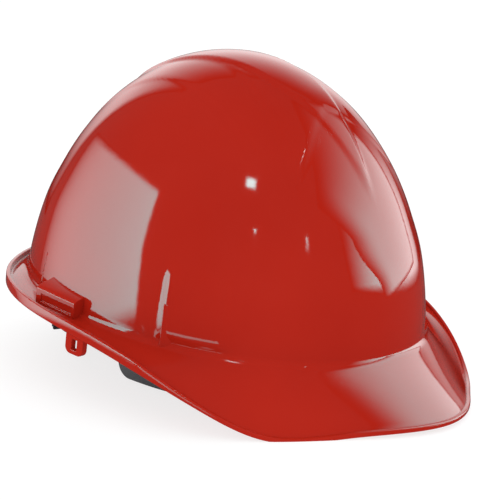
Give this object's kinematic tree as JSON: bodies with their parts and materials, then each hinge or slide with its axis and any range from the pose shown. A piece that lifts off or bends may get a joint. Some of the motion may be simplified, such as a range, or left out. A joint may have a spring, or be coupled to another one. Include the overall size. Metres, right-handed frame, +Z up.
{
  "type": "safety helmet",
  "caption": "Hard hat: domed shell with a peak and rain lip, webbing suspension, slotted headband, brow and nape pads, and a ratchet size adjuster.",
  "frame": {"origin": "centre of the head opening, at the level of the brim over the ears", "axes": "the wearer faces -Y, +X is the wearer's left, +Z is up through the crown"},
  "size_m": [0.225, 0.2775, 0.1806],
  "materials": {
    "shell_plastic": "glossy injection-moulded polyethylene, red",
    "fitting_plastic": "satin black nylon",
    "stud_plastic": "satin black nylon",
    "band_plastic": "fine-textured black polyethylene",
    "ratchet_plastic": "fine-textured black plastic",
    "pinion_plastic": "natural acetal",
    "knob_plastic": "textured black plastic with a soft edge",
    "webbing": "woven black polyester webbing",
    "foam": "closed-cell foam",
    "brow_fabric": "perforated black sweatband cloth",
    "nape_fabric": "black knitted cloth on foam",
    "screw_steel": "zinc-plated steel"
  },
  "bodies": {
    "shell": {"shell": "shell_plastic", "suspension_key_front_left": "fitting_plastic", "suspension_key_front_right": "fitting_plastic", "suspension_key_rear_left": "fitting_plastic", "suspension_key_rear_right": "fitting_plastic", "hanger_studs": "stud_plastic", "crown_strap_lower": "webbing", "crown_strap_upper": "webbing"},
    "headband": {"headband": "band_plastic", "brow_foam": "foam", "brow_cover": "brow_fabric", "ratchet_housing": "ratchet_plastic", "ratchet_cover": "ratchet_plastic", "cover_screws": "screw_steel", "nape_pad": "nape_fabric"},
    "knob": {"drive_pinion": "pinion_plastic", "detent_spring": "pinion_plastic", "adjust_knob": "knob_plastic", "knob_screw": "screw_steel"},
    "nape_arm_left": {"nape_arm_left": "band_plastic"},
    "nape_arm_right": {"nape_arm_right": "band_plastic"}
  },
  "joints": [
    {"name": "wearing_height", "type": "slide", "parent": "shell", "child": "headband", "axis": [0, 0, 1], "range_m": [-0.004, 0.004]},
    {"name": "knob_turn", "type": "hinge", "parent": "headband", "child": "knob", "pos_m": [0, 0.022, -0.005], "axis": [0, 0.9781, -0.2079], "range_deg": [-150, 150]},
    {"name": "left_arm_travel", "type": "hinge", "parent": "headband", "child": "nape_arm_left", "pos_m": [0, 0.022, -0.005], "axis": [0, 0.2079, 0.9781], "range_deg": [-10, 10]},
    {"name": "right_arm_travel", "type": "hinge", "parent": "headband", "child": "nape_arm_right", "pos_m": [0, 0.022, -0.005], "axis": [0, 0.2079, 0.9781], "range_deg": [-10.3, 10.3]}
  ],
  "couplings": [
    {"joint": "left_arm_travel", "follows": "knob_turn", "ratio": -0.065617},
    {"joint": "right_arm_travel", "follows": "knob_turn", "ratio": 0.067385}
  ]
}
